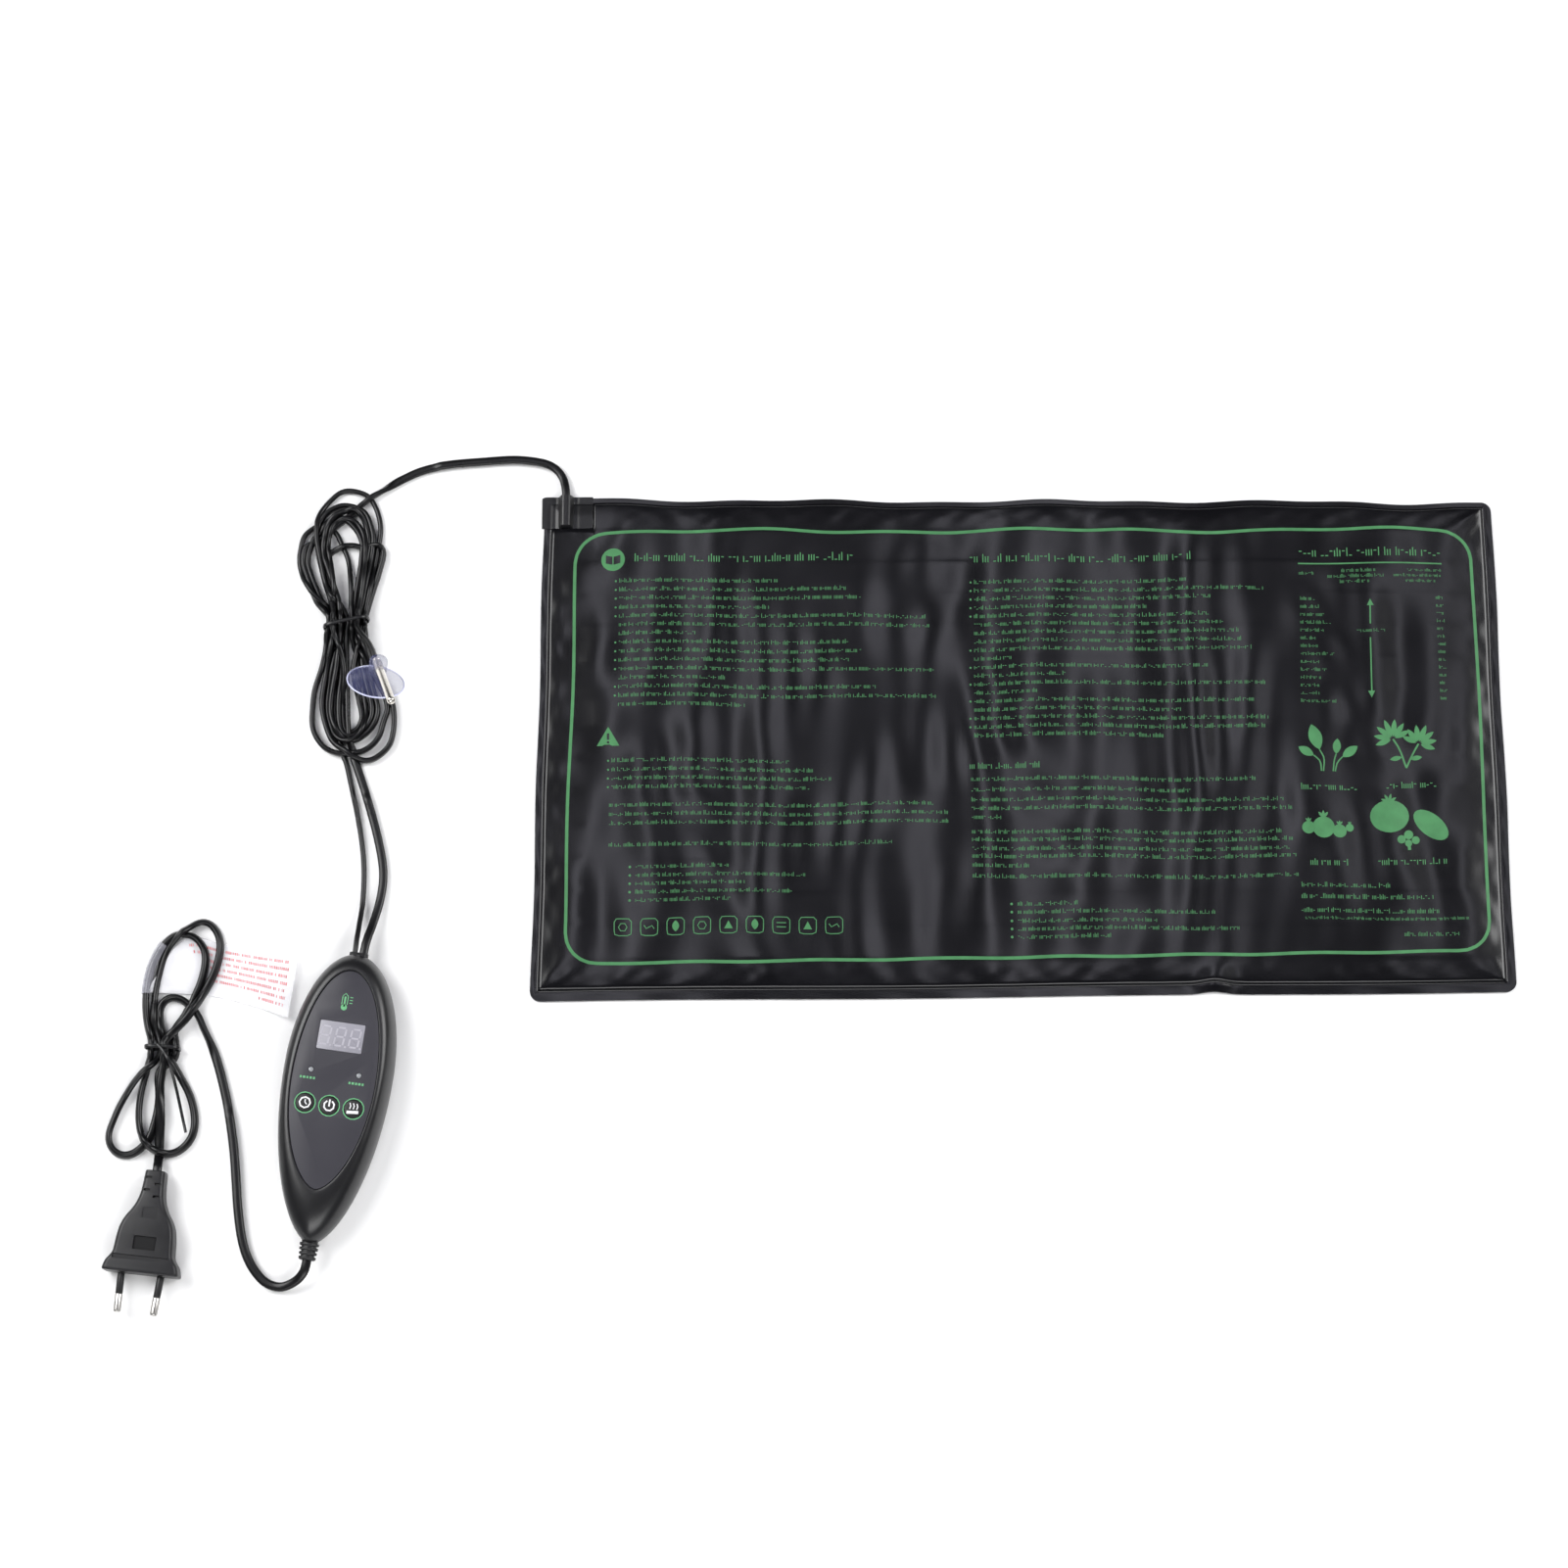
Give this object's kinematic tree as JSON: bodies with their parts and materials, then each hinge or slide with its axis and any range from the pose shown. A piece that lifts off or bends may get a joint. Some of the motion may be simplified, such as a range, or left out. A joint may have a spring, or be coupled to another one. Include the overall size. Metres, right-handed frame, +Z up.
{
  "type": "seedling heat mat",
  "caption": "Flat rectangular heating mat for seed trays, wired to an egg-shaped hand controller with display and push buttons, a probe on a suction cup, and a flat two-pin mains plug.",
  "frame": {"origin": "centre of the mat's underside, on the bench", "axes": "+X along the mat's long side, away from the corner where its lead leaves; +Y towards the long side where the lead leaves; +Z up, out of the face that a tray stands on"},
  "size_m": [0.6824, 0.4312, 0.053],
  "materials": {
    "mat_cover": "satin",
    "felt": "matte",
    "foil": "bright",
    "heating_wire": "satin",
    "splice_sleeve": "matte",
    "case_black": "satin",
    "faceplate": "matte",
    "display": "satin",
    "button_black": "satin",
    "indicator": "gloss",
    "circuit_board": "satin",
    "component_black": "satin",
    "relay_blue": "satin",
    "film_capacitor": "satin",
    "capacitor_can": "satin",
    "fuse_glass": "clear",
    "screw_steel": "zinc plated",
    "soft_pvc": "matte",
    "lead_jacket": "satin",
    "tie_jacket": "satin",
    "label_film": "satin",
    "probe_steel": "polished",
    "clear_pvc": "clear",
    "plug_black": "fine matte",
    "pin_nickel": "nickel plated"
  },
  "bodies": {
    "mat_and_leads": {"mat_bottom_cover": "mat_cover", "mat_top_cover": "mat_cover", "mat_cord_entry": "mat_cover", "insulation_pad": "felt", "reflective_foil": "foil", "heating_wire": "heating_wire", "splice_left": "splice_sleeve", "splice_right": "splice_sleeve", "controller_back_shell": "case_black", "controller_front_shell": "case_black", "faceplate": "faceplate", "display_window": "display", "display_module": "display", "circuit_board": "circuit_board", "microcontroller": "component_black", "relay": "relay_blue", "film_capacitor": "film_capacitor", "smoothing_capacitor": "capacitor_can", "fuse": "fuse_glass", "timer_indicator": "indicator", "heat_indicator": "indicator", "timer_switch_body": "component_black", "power_switch_body": "component_black", "heat_switch_body": "component_black", "case_screw_1": "screw_steel", "case_screw_2": "screw_steel", "case_screw_3": "screw_steel", "mains_strain_relief": "soft_pvc", "lead_grommet": "soft_pvc", "mat_lead_upper": "lead_jacket", "mat_lead_lower": "lead_jacket", "upper_hank": "lead_jacket", "probe_lead": "lead_jacket", "probe_lead_end": "lead_jacket", "upper_tie": "tie_jacket", "probe_tube": "probe_steel", "mains_lead": "lead_jacket", "mains_hank": "lead_jacket", "mains_lead_end": "lead_jacket", "lower_tie": "tie_jacket", "label_tag": "label_film", "plug_body": "plug_black", "left_pin": "pin_nickel", "right_pin": "pin_nickel", "left_pin_sleeve": "plug_black", "right_pin_sleeve": "plug_black"},
    "timer_button": {"timer_button": "button_black", "timer_switch_plunger": "component_black"},
    "power_button": {"power_button": "button_black", "power_switch_plunger": "component_black"},
    "heat_button": {"heat_button": "button_black", "heat_switch_plunger": "component_black"},
    "suction_cup": {"suction_cup": "clear_pvc"}
  },
  "joints": [
    {"name": "timer_press", "type": "slide", "parent": "mat_and_leads", "child": "timer_button", "axis": [0, 0, -1], "range_m": [0, 0.0005], "stiffness_N_per_m": 400, "springref_m": -0.0005},
    {"name": "power_press", "type": "slide", "parent": "mat_and_leads", "child": "power_button", "axis": [0, 0, -1], "range_m": [0, 0.0005], "stiffness_N_per_m": 400, "springref_m": -0.0005},
    {"name": "heat_press", "type": "slide", "parent": "mat_and_leads", "child": "heat_button", "axis": [0, 0, -1], "range_m": [0, 0.0005], "stiffness_N_per_m": 400, "springref_m": -0.0005},
    {"name": "cup_turn", "type": "hinge", "parent": "mat_and_leads", "child": "suction_cup", "pos_m": [-0.3152, 0.0313, 0.0328], "axis": [-0.2901, 0.7453, -0.6003], "range_deg": [0, 150]}
  ]
}
